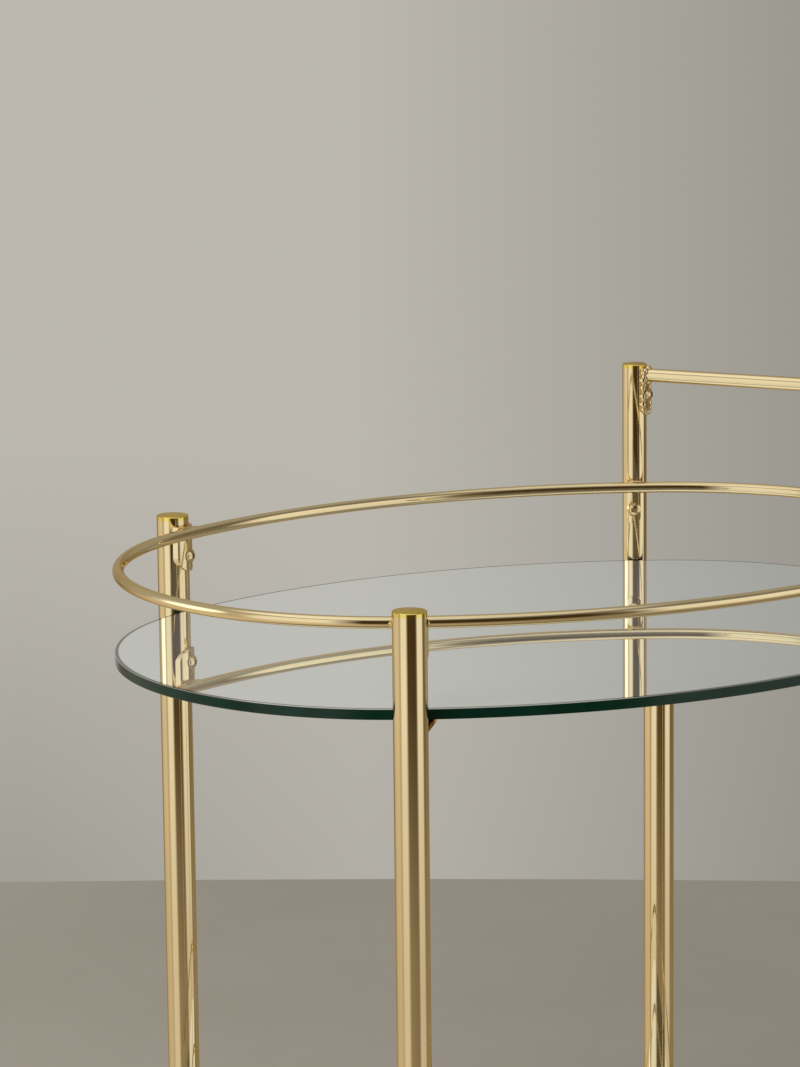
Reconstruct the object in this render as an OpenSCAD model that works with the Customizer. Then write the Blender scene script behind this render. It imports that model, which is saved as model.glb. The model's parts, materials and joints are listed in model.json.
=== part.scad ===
// Oval two-shelf dessert trolley: a polished tube frame that carries two mirror shelves with round
// gallery rails, a bowed push handle, two large spoked wheels and two swivel casters.
// X runs along the shelves towards the handle end, Y across them, and Z up from the floor.
// The origin is on the floor under the middle of the shelves. All sizes are in millimetres.

/* [Shelves] */
// Half the length of each mirror shelf
shelf_a = 334; // [320:1:345]
// Half the width of each mirror shelf
shelf_b = 243; // [236:1:252]
// Radius of the two end arcs of the shelf's oval
shelf_end_r = 215; // [205:1:222]
// Thickness of the mirror glass
glass_t = 8; // [4:0.5:10]
// Width of the bevel along the edges of the glass
arris = 0.5; // [0.4:0.1:1.5]
// Height of the top shelf's upper face above the floor
top_shelf_z = 660; // [600:5:720]
// Height of the lower shelf's upper face above the floor
lower_shelf_z = 165; // [160:1:280]
// Gap round each right leg where it passes through the lower shelf
leg_hole_gap = 1.5; // [1:0.25:3]

/* [Gallery rails] */
// Radius of the rail's round rod
rail_r = 4.5; // [4:0.25:6]
// Height of the top rod's centre above its shelf
rail_h = 61.5; // [52:0.5:75]
// Height of the lower rod's centre above its shelf
lower_rail_h = 50; // [44:0.5:75]
// How far the rod's centre runs inside the shelf's edge
rail_inset = 4; // [2:0.5:5]
// Height of the weld beads where the arcs of a rod meet
bead_h = 0.1; // [0.1:0.05:0.4]
// Length of those weld beads along the rod
bead_l = 3; // [2:0.5:5]

/* [Legs] */
// Outer radius of the four leg tubes
leg_r = 12.5; // [11:0.5:15]
// Wall of the leg, post and crossbar tubes
tube_wall = 1.5; // [1:0.25:2.5]
// Place of the left legs round the oval, as the angle of the oval's normal from Y
left_station = 25.5; // [18:0.5:32]
// How far the left legs rise above the centre of the top rail's rod
leg_over_rail = 9.5; // [8:0.5:25]
// How far the right legs reach below the wheel axle's centre
leg_under_axle = 22; // [21:1:30]

/* [Handle] */
// Outer radius of the two handle posts
post_r = 10; // [8:0.5:12]
// Place of the handle posts round the oval, as the angle of the oval's normal from Y
right_station = 24; // [20:0.5:28]
// Height of the handle rod's centre above the top shelf
handle_h = 153; // [120:1:200]
// How far the posts rise above the centre of the handle's rod
post_over_handle = 6; // [6:1:20]
// How far the posts reach below the top crossbar
post_foot = 6; // [3:1:30]
// Radius of the handle's rod
handle_r = 5.5; // [4.5:0.25:7]
// Angle between the long axis and the straight ends of the handle
handle_splay = 52; // [46:1:56]
// Radius of the bend in the middle of the handle
handle_bend_r = 150; // [110:5:170]

/* [Brackets and screws] */
// Thickness of the saddle plates that hug the tubes
saddle_t = 2.5; // [2:0.25:4]
// Half the angle that a saddle plate covers round a leg
leg_saddle_half_deg = 48; // [40:1:60]
// Half the angle that a saddle plate covers round a handle post
post_saddle_half_deg = 26; // [20:1:45]
// Height of a saddle plate above the rod's centre
saddle_up = 5; // [3:0.5:7]
// Depth of a saddle plate below the rod's centre
saddle_down = 31; // [28:0.5:40]
// Turn of the legs' saddles from the rail's normal towards the shelf's middle
leg_saddle_turn = 14; // [0:1:18]
// Turn of the posts' rail saddles from the rail's normal towards the shelf's middle
post_saddle_turn = 8; // [0:1:12]
// Depth of a rail's screw below the rod's centre
rail_screw_down = 19; // [14:0.5:22]
// Depth of the handle's screw below the rod's centre
handle_screw_down = 16; // [14:0.5:22]
// Radius of the button-head screws' shank
screw_r = 3; // [2:0.5:4]
// Reach of the shank inside the tube's wall
screw_reach = 3; // [1:0.5:4]
// Radius of the screw head
screw_head_r = 5.75; // [5:0.25:7]
// Height of the screw head
screw_head_h = 3.6; // [3:0.1:5]
// Height of the head's edge below its dome
screw_edge_h = 0.8; // [0.4:0.1:1.2]
// Size across the flats of the hexagon socket
socket_af = 4; // [3:0.5:4.5]
// Depth of the hexagon socket
socket_deep = 2; // [1:0.25:2.5]
// Depth of the flat that each screw head seats on
spot_face = 0.4; // [0.2:0.1:1]

/* [Shelf supports] */
// Thickness of the rubber pads under the glass
pad_t = 1.5; // [1:0.25:3]
// Radius of the rubber pads
pad_r = 9; // [6:0.5:11]
// Thickness of the tongue brackets under the top shelf
tongue_t = 3.5; // [3:0.5:8]
// Width of the tongue brackets
tongue_w = 25; // [20:1:30]
// Reach of the tongue brackets from the leg's axis
tongue_l = 62; // [50:1:80]
// Turn of the tongues from the rail's normal towards the shelf's middle
tongue_turn = 11; // [4:1:25]
// Half the angle that a tongue's plate covers round its leg
tongue_half_deg = 40; // [30:1:50]
// Depth of the tongue bracket's plate below the tongue
tongue_plate_h = 28; // [26:1:35]
// Depth of the tongue bracket's screw below the tongue
tongue_screw_down = 15; // [12:0.5:18]
// Radius of the crossbars and the stretcher
bar_r = 10; // [8:0.5:12]
// Distance of the pads on the crossbars from the middle
bar_pad_y = 125; // [90:5:140]

/* [Caps and plugs] */
// Height of a cap's rim above its tube
cap_t = 3; // [1:0.1:4]
// Rise of a cap's middle above its rim
cap_dome = 0.6; // [0.2:0.1:1.5]
// Width of the bevel round a cap's rim
cap_bevel = 0.5; // [0.2:0.1:0.8]
// Depth of a plug inside its tube
plug_l = 14; // [8:1:15]

/* [Large wheels] */
// Outer radius of a large wheel's tyre
wheel_r = 70; // [60:1:78]
// Width of a large wheel's tyre
tyre_w = 20; // [16:1:24]
// Height of the tyre above its rim
tyre_h = 10; // [7:0.5:14]
// Thickness of the rim under the tyre
rim_t = 5; // [3:0.5:8]
// How far the rim's edge lies inside the tyre's side
rim_in = 1; // [0.5:0.25:3]
// Radius of the hub
hub_r = 15; // [12:0.5:18]
// Length of the hub along the axle
hub_l = 34; // [26:1:40]
// Number of spokes
spoke_count = 10; // [6:1:14]
// Radius of a spoke
spoke_r = 3; // [2:0.25:4]
// Radius of the axle
axle_r = 6; // [5:0.25:7]
// Wall of the bush between the hub and the axle
bush_wall = 2; // [1.5:0.25:3]
// Length of the spacer between a leg and its hub
spacer_l = 5; // [4:0.5:10]
// Wall of that spacer
spacer_wall = 3; // [2:0.25:4]
// Outer radius of the axle's end nuts
nut_r = 11; // [9:0.5:13]
// Length of the axle's end nuts
nut_l = 8; // [6:0.5:12]
// Rise of an end nut's dome
nut_dome = 3; // [1:0.25:4]

/* [Casters] */
// Outer radius of a caster's tyre
caster_r = 30; // [25:1:38]
// Width of a caster's wheel
caster_w = 18; // [14:1:22]
// Height of the tyre above the caster's rim
caster_tyre_h = 7; // [4:0.5:10]
// Distance of the caster's axle from its swivel axis
caster_trail = 18; // [10:1:25]
// Radius of the caster's axle
caster_axle_r = 4; // [3:0.25:5]
// Width of the metal round the axle in a cheek
eye_wall = 5; // [3:0.5:7]
// How far the rivet heads of the caster's axle stand over its shaft
rivet_over = 2.5; // [1.5:0.25:4]
// Height of those rivet heads
rivet_h = 2.5; // [1:0.25:4]
// Depth of the hollow in the sides of a caster's wheel
caster_dish = 3; // [1:0.5:5]
// Width of the flat hub and of the flat rim round that hollow
caster_land = 4; // [3:0.25:5]
// Radius of the caster's stem
stem_r = 5; // [4:0.25:6]
// Length of the stem inside its socket
stem_l = 20; // [15:1:26]
// Thickness of the fork's crown
crown_t = 4; // [3:0.5:6]
// How far the crown's edge stands outside the cheeks
crown_lip = 1; // [0.5:0.25:3]
// Thickness of the fork's two cheeks
cheek_t = 3; // [2:0.5:4]
// Gap between the wheel and the fork
fork_gap = 1.8; // [1:0.1:3]
// Thickness of the socket's flange under the leg
flange_t = 3; // [2:0.5:5]
// Depth of the socket inside the leg
socket_l = 26; // [24:1:40]

/* [Fits] */
// Radial clearance of turning shafts in their bores
run_fit = 0.05; // [0.03:0.01:0.1]
// Gap between faces that turn past each other
turn_gap = 0.4; // [0.3:0.1:1]
// Gap between pieces that are welded, screwed or pushed together
seat_fit = 0.03; // [0.02:0.01:0.05]

/* [Hidden] */
$fn = 96;

gold = "#cfa962";
cap_gold = "#b9a268";
mirror_grey = "#b8b9b1";
rubber = "#2b2a28";
pad_grey = "#8c8c88";
bronze = "#8a6433";
FRONT = -1;
BACK = 1;
over = 1;
// Share of a tyre's height that its rounded shoulders take
shoulder_share = 0.45;
// Share of an end nut's length that the axle fills
nut_fill = 0.6;

// The oval has two side arcs of side_r and two end arcs of shelf_end_r that meet on one tangent.
side_r = (pow(shelf_a - shelf_end_r, 2) + pow(shelf_b, 2) - pow(shelf_end_r, 2))
    / (2 * (shelf_b - shelf_end_r));
side_c = side_r - shelf_b;
end_c = shelf_a - shelf_end_r;
end_deg = atan2(side_c, end_c);

// A point at a distance grow outside the shelf's edge, where the oval's normal is deg from Y
function oval_point(deg, grow) = deg <= 90 - end_deg
    ? [(side_r + grow) * sin(deg), (side_r + grow) * cos(deg) - side_c]
    : [end_c + (shelf_end_r + grow) * sin(deg), (shelf_end_r + grow) * cos(deg)];
// The same for a given x: the angle of the normal from Y
function oval_deg(x, grow) = x <= (side_r + grow) * cos(end_deg)
    ? asin(x / (side_r + grow))
    : asin((x - end_c) / (shelf_end_r + grow));

// Uprights of the back side; those of the front side are their mirror images
rail_to_leg = rail_r + saddle_t + 2 * seat_fit + leg_r;
rail_to_post = rail_r + saddle_t + 2 * seat_fit + post_r;
left_point = oval_point(left_station, rail_to_leg - rail_inset);
left_xy = [-left_point[0], left_point[1], 0];
post_point = oval_point(right_station, rail_to_post - rail_inset);
post_xy = [post_point[0], post_point[1], 0];
right_leg_grow = -rail_inset - rail_to_leg;
right_leg_deg = oval_deg(post_xy[0], right_leg_grow);
right_xy = [post_xy[0], oval_point(right_leg_deg, right_leg_grow)[1], 0];

// Directions in which the brackets face
left_saddle_deg = left_station - 90 + leg_saddle_turn;
tongue_deg = left_station - 90 + tongue_turn;
post_saddle_deg = -90 - right_station - post_saddle_turn;
right_saddle_deg = 90 - right_leg_deg;
handle_deg = -handle_splay;

// Heights
top_rail_z = top_shelf_z + rail_h;
lower_rail_z = lower_shelf_z + lower_rail_h;
leg_top_z = top_rail_z + leg_over_rail;
handle_z = top_shelf_z + handle_h;
post_top_z = handle_z + post_over_handle;
tongue_z = top_shelf_z - glass_t - pad_t - tongue_t;
top_bar_z = top_shelf_z - glass_t - pad_t - bar_r;
lower_bar_z = lower_shelf_z - glass_t - pad_t - bar_r;
post_foot_z = top_bar_z - bar_r - post_foot;
axle_z = wheel_r;
right_foot_z = axle_z - leg_under_axle;
crown_z = 2 * caster_r + fork_gap;
left_foot_z = crown_z + crown_t + turn_gap + flange_t;

// Screws as the direction they face and their height, for each kind of upright
left_leg_screws = [
    [left_saddle_deg, top_rail_z - rail_screw_down],
    [left_saddle_deg, lower_rail_z - rail_screw_down],
    [tongue_deg, tongue_z - tongue_screw_down]
];
post_screws = [
    [post_saddle_deg, top_rail_z - rail_screw_down],
    [handle_deg, handle_z - handle_screw_down]
];
right_leg_screws = [[right_saddle_deg, lower_rail_z - rail_screw_down]];

// Large wheel along its axle
hub_y = right_xy[1] + leg_r + spacer_l + hub_l / 2;
axle_half = hub_y + hub_l / 2 + turn_gap + nut_l * nut_fill;
rim_r = wheel_r - tyre_h;

module on_side(side) {
    if (side == BACK)
        children();
    else
        mirror([0, 1, 0])
            children();
}

module tube(r, z0, z1) {
    difference() {
        translate([0, 0, z0])
            cylinder(r = r, h = z1 - z0);
        translate([0, 0, z0 - over])
            cylinder(r = r - tube_wall, h = z1 - z0 + 2 * over);
    }
}

module cross_rod(r, half) {
    rotate([90, 0, 0])
        cylinder(r = r, h = 2 * half, center = true);
}

// ---- Shelves ----

module bevelled_disc(r) {
    rotate_extrude()
        polygon([
            [0, -glass_t], [r - arris, -glass_t], [r, -glass_t + arris],
            [r, -arris], [r - arris, 0], [0, 0]
        ]);
}

// Oval glass plate with its upper face at z = 0
module oval_plate() {
    half_x = side_r * cos(end_deg);
    intersection() {
        translate([0, -side_c, 0])
            bevelled_disc(side_r);
        translate([0, side_c, 0])
            bevelled_disc(side_r);
        translate([-half_x, -shelf_b, -glass_t])
            cube([2 * half_x, 2 * shelf_b, glass_t]);
    }
    for (end = [-1, 1])
        translate([end * end_c, 0, 0])
            bevelled_disc(shelf_end_r);
}

module top_mirror() {
    color(mirror_grey)
        translate([0, 0, top_shelf_z])
            oval_plate();
}

module lower_mirror() {
    color(mirror_grey)
        difference() {
            translate([0, 0, lower_shelf_z])
                oval_plate();
            for (side = [FRONT, BACK])
                on_side(side)
                    translate([right_xy[0], right_xy[1], lower_shelf_z - glass_t - over])
                        cylinder(r = leg_r + leg_hole_gap, h = glass_t + 2 * over);
        }
}

// ---- Gallery rails ----

module rod_arc(arc_r, rod_r, from_deg, sweep_deg) {
    rotate([0, 0, from_deg])
        rotate_extrude(angle = sweep_deg)
            translate([arc_r, 0])
                circle(r = rod_r, $fn = 48);
}

// Beads of the butt welds at both ends of an arc that spans half_deg either way from X
module weld_beads(arc_r, rod_r, half_deg) {
    for (deg = [-half_deg, half_deg])
        rotate([0, 0, deg])
            translate([arc_r, 0, 0])
                cross_rod(rod_r + bead_h, bead_l / 2);
}

module rail_ring(z) {
    translate([0, 0, z])
        for (turn = [0, 180])
            rotate([0, 0, turn]) {
                translate([end_c, 0, 0])
                    rod_arc(shelf_end_r - rail_inset, rail_r, -end_deg, 2 * end_deg);
                translate([0, -side_c, 0])
                    rod_arc(side_r - rail_inset, rail_r, end_deg, 180 - 2 * end_deg);
                translate([end_c, 0, 0])
                    weld_beads(shelf_end_r - rail_inset, rail_r, end_deg);
            }
}

module top_rail() {
    color(gold)
        rail_ring(top_rail_z);
}

module lower_rail() {
    color(gold)
        rail_ring(lower_rail_z);
}

// ---- Brackets ----

// Curved plate that hugs a tube along Z and faces +X, with a round lower end
module saddle_plate(tube_r, half_deg, up, down, screw_down) {
    in_r = tube_r + seat_fit;
    out_r = in_r + saddle_t;
    plate_w = 2 * out_r * sin(half_deg);
    difference() {
        intersection() {
            translate([0, 0, -down])
                cylinder(r = out_r, h = up + down);
            rotate([90, 0, 90])
                linear_extrude(out_r + over)
                    union() {
                        translate([-plate_w / 2, plate_w / 2 - down])
                            square([plate_w, up + down - plate_w / 2]);
                        translate([0, plate_w / 2 - down])
                            circle(r = plate_w / 2);
                    }
        }
        translate([0, 0, -down - over])
            cylinder(r = in_r, h = up + down + 2 * over);
        translate([0, 0, -screw_down])
            rotate([0, 90, 0])
                cylinder(r = screw_r + seat_fit, h = out_r + over);
        translate([out_r - spot_face, 0, -screw_down])
            rotate([0, 90, 0])
                cylinder(r = screw_head_r + seat_fit, h = spot_face + over);
    }
}

module rail_saddle(place, tube_r, half_deg, deg, z) {
    translate(place + [0, 0, z])
        rotate([0, 0, deg])
            saddle_plate(tube_r, half_deg, saddle_up, saddle_down, rail_screw_down);
}

module left_rail_saddle(side, z) {
    color(gold)
        on_side(side)
            rail_saddle(left_xy, leg_r, leg_saddle_half_deg, left_saddle_deg, z);
}

module right_rail_saddle(side) {
    color(gold)
        on_side(side)
            rail_saddle(post_xy, post_r, post_saddle_half_deg, post_saddle_deg, top_rail_z);
}

module right_lower_saddle(side) {
    color(gold)
        on_side(side)
            rail_saddle(right_xy, leg_r, leg_saddle_half_deg, right_saddle_deg, lower_rail_z);
}

module handle_saddle(side) {
    color(gold)
        on_side(side)
            translate(post_xy + [0, 0, handle_z])
                rotate([0, 0, handle_deg])
                    saddle_plate(
                        post_r, post_saddle_half_deg, saddle_up + handle_r - rail_r,
                        saddle_down, handle_screw_down
                    );
}

// Flat tongue under the top shelf, welded to a plate on the left leg
module shelf_tongue(side) {
    color(gold)
        on_side(side)
            translate(left_xy + [0, 0, tongue_z])
                rotate([0, 0, tongue_deg]) {
                    difference() {
                        linear_extrude(tongue_t)
                            union() {
                                translate([0, -tongue_w / 2])
                                    square([tongue_l - tongue_w / 2, tongue_w]);
                                translate([tongue_l - tongue_w / 2, 0])
                                    circle(r = tongue_w / 2);
                            }
                        translate([0, 0, -over])
                            cylinder(r = leg_r + seat_fit, h = tongue_t + 2 * over);
                    }
                    saddle_plate(leg_r, tongue_half_deg, tongue_t, tongue_plate_h, tongue_screw_down);
                }
}

// Button-head screw along +X, with the seat of its head at the origin
module button_screw(shank_l) {
    dome_h = screw_head_h - screw_edge_h;
    dome_r = (pow(screw_head_r, 2) + pow(dome_h, 2)) / (2 * dome_h);
    rotate([0, 90, 0])
        difference() {
            union() {
                intersection() {
                    cylinder(r = screw_head_r, h = screw_head_h);
                    translate([0, 0, screw_head_h - dome_r])
                        sphere(r = dome_r);
                }
                translate([0, 0, -shank_l])
                    cylinder(r = screw_r, h = shank_l + over);
            }
            translate([0, 0, screw_head_h - socket_deep])
                cylinder(r = socket_af / 2 / cos(30), h = socket_deep + over, $fn = 6);
        }
}

module screws_on(place, tube_r, list) {
    for (s = list)
        translate(place + [0, 0, s[1]])
            rotate([0, 0, s[0]])
                translate([tube_r + seat_fit + saddle_t - spot_face, 0, 0])
                    button_screw(saddle_t + tube_wall + screw_reach);
}

module saddle_screws() {
    color(cap_gold)
        for (side = [FRONT, BACK])
            on_side(side) {
                screws_on(left_xy, leg_r, left_leg_screws);
                screws_on(post_xy, post_r, post_screws);
                screws_on(right_xy, leg_r, right_leg_screws);
            }
}

module screw_holes(tube_r, list) {
    for (s = list)
        translate([0, 0, s[1]])
            rotate([0, 0, s[0]])
                rotate([0, 90, 0])
                    cylinder(r = screw_r + seat_fit, h = tube_r + over);
}

// ---- Uprights ----

module left_leg(side) {
    color(gold)
        on_side(side)
            translate(left_xy)
                difference() {
                    tube(leg_r, left_foot_z, leg_top_z);
                    screw_holes(leg_r, left_leg_screws);
                }
}

// Right leg: its top is shaped to the crossbar above it, and the axle passes through its foot
module right_leg(side) {
    color(gold)
        on_side(side)
            translate(right_xy)
                difference() {
                    tube(leg_r, right_foot_z, top_bar_z);
                    screw_holes(leg_r, right_leg_screws);
                    translate([0, 0, top_bar_z])
                        cross_rod(bar_r + seat_fit, leg_r + over);
                    translate([0, 0, axle_z])
                        cross_rod(axle_r + seat_fit, leg_r + over);
                }
}

module handle_post(side) {
    color(gold)
        on_side(side)
            translate(post_xy)
                difference() {
                    tube(post_r, post_foot_z, post_top_z);
                    screw_holes(post_r, post_screws);
                }
}

// Plug with a low domed head, seated on the upper end of a tube at z = 0
module tube_cap(tube_r) {
    rotate_extrude()
        polygon([
            [0, 0], [tube_r, 0], [tube_r, cap_t - cap_bevel],
            [tube_r - cap_bevel, cap_t], [tube_r - tube_wall, cap_t], [0, cap_t + cap_dome]
        ]);
    translate([0, 0, -plug_l])
        cylinder(r = tube_r - tube_wall - seat_fit, h = plug_l);
}

module leg_cap(side) {
    color(cap_gold)
        on_side(side)
            translate(left_xy + [0, 0, leg_top_z])
                tube_cap(leg_r);
}

module post_caps(side) {
    color(cap_gold)
        on_side(side)
            translate(post_xy) {
                translate([0, 0, post_top_z])
                    tube_cap(post_r);
                translate([0, 0, post_foot_z])
                    mirror([0, 0, 1])
                        tube_cap(post_r);
            }
}

module leg_plug(side) {
    color(cap_gold)
        on_side(side)
            translate(right_xy + [0, 0, right_foot_z])
                mirror([0, 0, 1])
                    tube_cap(leg_r);
}

// ---- Handle ----

// Round rod with a straight stretch from each post's saddle and one bend round the middle
module handle_bar() {
    start_off = post_r + seat_fit + saddle_t;
    start_x = post_xy[0] + start_off * cos(handle_splay);
    start_y = post_xy[1] - start_off * sin(handle_splay);
    bend_y = handle_bend_r * cos(handle_splay);
    straight_l = (start_y - bend_y) / sin(handle_splay);
    bend_x = start_x + straight_l * cos(handle_splay) - handle_bend_r * sin(handle_splay);
    half_bend = 90 - handle_splay;
    color(gold)
        translate([0, 0, handle_z]) {
            translate([bend_x, 0, 0]) {
                rod_arc(handle_bend_r, handle_r, -half_bend, 2 * half_bend);
                weld_beads(handle_bend_r, handle_r, half_bend);
            }
            for (side = [FRONT, BACK])
                on_side(side)
                    difference() {
                        translate([post_xy[0], post_xy[1], 0])
                            rotate([0, 0, handle_deg])
                                translate([post_r, 0, 0])
                                    rotate([0, 90, 0])
                                        cylinder(r = handle_r, h = straight_l + start_off - post_r);
                        translate([post_xy[0], post_xy[1], -handle_r - over])
                            cylinder(r = start_off + seat_fit, h = 2 * (handle_r + over));
                    }
        }
}

// ---- Under frame ----

// Tube along Y between two uprights whose axes are at plus and minus half
module crossbar(x, z, half, upright_r) {
    color(gold)
        translate([x, 0, z])
            difference() {
                cross_rod(bar_r, half);
                cross_rod(bar_r - tube_wall, half + over);
                for (y = [-half, half])
                    translate([0, y, -bar_r - over])
                        cylinder(r = upright_r + seat_fit, h = 2 * (bar_r + over));
            }
}

module lower_stretcher() {
    x0 = left_xy[0];
    x1 = right_xy[0];
    color(gold)
        translate([0, 0, lower_bar_z])
            difference() {
                translate([x0, 0, 0])
                    rotate([0, 90, 0])
                        cylinder(r = bar_r, h = x1 - x0);
                translate([x0 - over, 0, 0])
                    rotate([0, 90, 0])
                        cylinder(r = bar_r - tube_wall, h = x1 - x0 + 2 * over);
                for (x = [x0, x1])
                    translate([x, 0, 0])
                        cross_rod(bar_r + seat_fit, bar_r + over);
            }
}

// Rubber pad on a crossbar: flat under the glass, hollowed to the tube below
module bar_pad(x, y, bar_z) {
    translate([x, y, bar_z])
        difference() {
            translate([0, 0, bar_r - pad_t])
                cylinder(r = pad_r, h = 2 * pad_t);
            cross_rod(bar_r + seat_fit, pad_r + over);
        }
}

module top_shelf_pads() {
    pad_x = tongue_l - tongue_w / 2;
    color(pad_grey)
        for (side = [FRONT, BACK])
            on_side(side) {
                bar_pad(post_xy[0], bar_pad_y, top_bar_z);
                translate(left_xy + [0, 0, tongue_z + tongue_t])
                    rotate([0, 0, tongue_deg])
                        translate([pad_x, 0, 0])
                            cylinder(r = pad_r, h = pad_t);
            }
}

module lower_shelf_pads() {
    color(pad_grey)
        for (side = [FRONT, BACK], x = [left_xy[0], right_xy[0]])
            on_side(side)
                bar_pad(x, bar_pad_y, lower_bar_z);
}

// ---- Large wheels and their axle ----

module wheel_axle() {
    color(gold)
        translate([right_xy[0], 0, axle_z])
            cross_rod(axle_r, axle_half);
}

module axle_spacers() {
    color(gold)
        for (side = [FRONT, BACK])
            on_side(side)
                translate([right_xy[0], right_xy[1] + leg_r + spacer_l - turn_gap, axle_z])
                    rotate([90, 0, 0])
                        difference() {
                            cylinder(r = axle_r + spacer_wall, h = spacer_l - turn_gap + leg_r);
                            translate([0, 0, -over])
                                cylinder(r = axle_r + seat_fit, h = spacer_l + leg_r + 2 * over);
                            translate([0, 0, spacer_l - turn_gap + leg_r])
                                rotate([90, 0, 0])
                                    cylinder(r = leg_r + seat_fit, h = 4 * leg_r, center = true);
                        }
}

module on_hub(side) {
    on_side(side)
        translate([right_xy[0], hub_y, axle_z])
            rotate([-90, 0, 0])
                children();
}

// Domed nut that closes the axle's end
module axle_nut(side) {
    dome_r = (pow(nut_r, 2) + pow(nut_dome, 2)) / (2 * nut_dome);
    nut_z = hub_l / 2 + turn_gap;
    color(cap_gold)
        on_hub(side)
            translate([0, 0, nut_z])
                difference() {
                    intersection() {
                        cylinder(r = nut_r, h = nut_l + nut_dome);
                        translate([0, 0, nut_l + nut_dome - dome_r])
                            sphere(r = dome_r);
                    }
                    translate([0, 0, -over])
                        cylinder(r = axle_r + seat_fit, h = axle_half - hub_y - nut_z + over + seat_fit);
                }
}

module wheel(side) {
    color(gold)
        on_hub(side)
            difference() {
                union() {
                    cylinder(r = hub_r, h = hub_l, center = true);
                    rotate_extrude()
                        translate([rim_r - rim_t, -tyre_w / 2 + rim_in])
                            square([rim_t, tyre_w - 2 * rim_in]);
                    for (i = [0 : spoke_count - 1])
                        rotate([0, 0, i * 360 / spoke_count])
                            translate([hub_r - over, 0, 0])
                                rotate([0, 90, 0])
                                    cylinder(r = spoke_r, h = rim_r - rim_t - hub_r + 2 * over, $fn = 32);
                }
                cylinder(r = axle_r + run_fit + bush_wall + seat_fit, h = hub_l + 2 * over, center = true);
            }
}

// Half section of a tyre of outer radius r and width w that is h high, with rounded shoulders
module tyre_ring(r, w, h) {
    shoulder = min(w, h) * shoulder_share;
    rotate_extrude()
        union() {
            translate([r - h + seat_fit, -w / 2])
                square([h - seat_fit - shoulder, w]);
            translate([r - shoulder - over, -w / 2 + shoulder])
                square([shoulder + over, w - 2 * shoulder]);
            for (edge = [-1, 1])
                translate([r - shoulder, edge * (w / 2 - shoulder)])
                    circle(r = shoulder, $fn = 48);
        }
}

module tyre(side) {
    color(rubber)
        on_hub(side)
            tyre_ring(wheel_r, tyre_w, tyre_h);
}

module bush(side) {
    color(bronze)
        on_hub(side)
            difference() {
                cylinder(r = axle_r + run_fit + bush_wall, h = hub_l, center = true);
                cylinder(r = axle_r + run_fit, h = hub_l + 2 * over, center = true);
            }
}

// ---- Casters ----

module caster_socket(side) {
    color(cap_gold)
        on_side(side)
            translate(left_xy + [0, 0, left_foot_z])
                difference() {
                    union() {
                        translate([0, 0, -flange_t])
                            cylinder(r = leg_r, h = flange_t);
                        cylinder(r = leg_r - tube_wall - seat_fit, h = socket_l);
                    }
                    translate([0, 0, -flange_t - over])
                        cylinder(r = stem_r + run_fit, h = flange_t + stem_l + 2 * over);
                }
}

// Fork that trails its wheel towards the handle end, with the stem that swivels in the socket
module caster_fork(side) {
    cheek_y = caster_w / 2 + fork_gap;
    eye_r = caster_axle_r + eye_wall;
    crown_r = cheek_y + cheek_t;
    color(gold)
        on_side(side)
            translate(left_xy)
                difference() {
                    union() {
                        translate([0, 0, crown_z])
                            cylinder(r = crown_r + crown_lip, h = crown_t);
                        translate([0, 0, crown_z + crown_t - over])
                            cylinder(r = stem_r, h = turn_gap + flange_t + stem_l + over);
                        for (y = [-cheek_y - cheek_t, cheek_y])
                            translate([0, y + cheek_t, 0])
                                rotate([90, 0, 0])
                                    linear_extrude(cheek_t)
                                        union() {
                                            translate([caster_trail, caster_r])
                                                circle(r = eye_r);
                                            polygon([
                                                [-eye_r, crown_z + crown_t], [eye_r, crown_z + crown_t],
                                                [caster_trail + eye_r, caster_r],
                                                [caster_trail - eye_r, caster_r]
                                            ]);
                                        }
                    }
                    translate([caster_trail, 0, caster_r])
                        cross_rod(caster_axle_r + seat_fit, crown_r + over);
                }
}

module caster_axle(side) {
    face = caster_w / 2 + fork_gap + cheek_t + seat_fit;
    color(cap_gold)
        on_side(side)
            translate(left_xy + [caster_trail, 0, caster_r]) {
                cross_rod(caster_axle_r, face + over);
                for (y = [-face - rivet_h / 2, face + rivet_h / 2])
                    translate([0, y, 0])
                        cross_rod(caster_axle_r + rivet_over, rivet_h / 2);
            }
}

module on_caster(side) {
    on_side(side)
        translate(left_xy + [caster_trail, 0, caster_r])
            rotate([90, 0, 0])
                children();
}

module caster_wheel(side) {
    rim_out = caster_r - caster_tyre_h;
    bore_r = caster_axle_r + run_fit;
    slope = caster_dish / 2;
    hub_out = bore_r + caster_land;
    rim_inner = rim_out - caster_land / 2;
    side_z = caster_w / 2;
    dish_z = side_z - caster_dish;
    color(gold)
        on_caster(side)
            rotate_extrude()
                polygon([
                    [bore_r, -side_z], [hub_out, -side_z], [hub_out + slope, -dish_z],
                    [rim_inner - slope, -dish_z], [rim_inner, -side_z], [rim_out, -side_z],
                    [rim_out, side_z], [rim_inner, side_z], [rim_inner - slope, dish_z],
                    [hub_out + slope, dish_z], [hub_out, side_z], [bore_r, side_z]
                ]);
}

module caster_tyre(side) {
    color(rubber)
        on_caster(side)
            tyre_ring(caster_r, caster_w, caster_tyre_h);
}

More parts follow.
